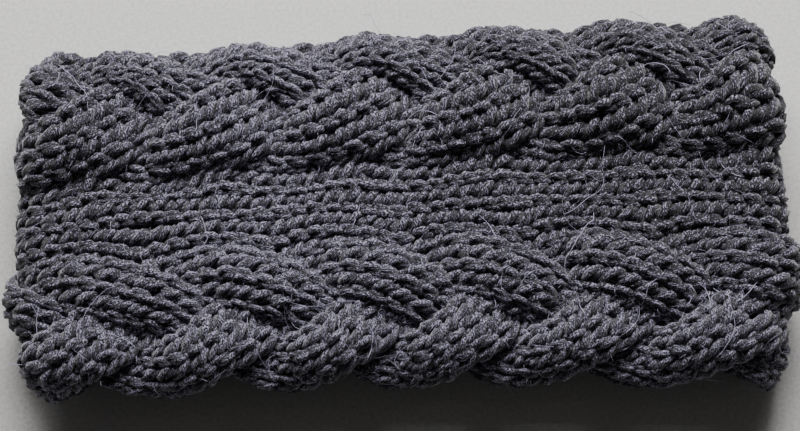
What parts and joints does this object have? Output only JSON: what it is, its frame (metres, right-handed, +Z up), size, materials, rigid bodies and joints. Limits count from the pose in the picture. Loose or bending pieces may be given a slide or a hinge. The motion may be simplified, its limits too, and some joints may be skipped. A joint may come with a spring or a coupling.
{
  "type": "braided knit headband",
  "caption": "Chunky knitted headband, laid flat and doubled: a plait of knit strands along each edge and plain knit columns between.",
  "frame": {"origin": "under the middle of the flat band, on the surface that it rests on", "axes": "+X along the flat band towards its right fold, +Y across it, away from the viewer and along the axis of the loop, +Z up"},
  "size_m": [0.2372, 0.1194, 0.034],
  "materials": {
    "charcoal_yarn": "soft, fuzzy, heathered wool yarn"
  },
  "bodies": {
    "root": {"centre_panel": "charcoal_yarn", "far_plait_strand_1": "charcoal_yarn", "far_plait_strand_2": "charcoal_yarn", "far_plait_strand_3": "charcoal_yarn", "near_plait_strand_1": "charcoal_yarn", "near_plait_strand_2": "charcoal_yarn", "near_plait_strand_3": "charcoal_yarn"}
  },
  "joints": []
}
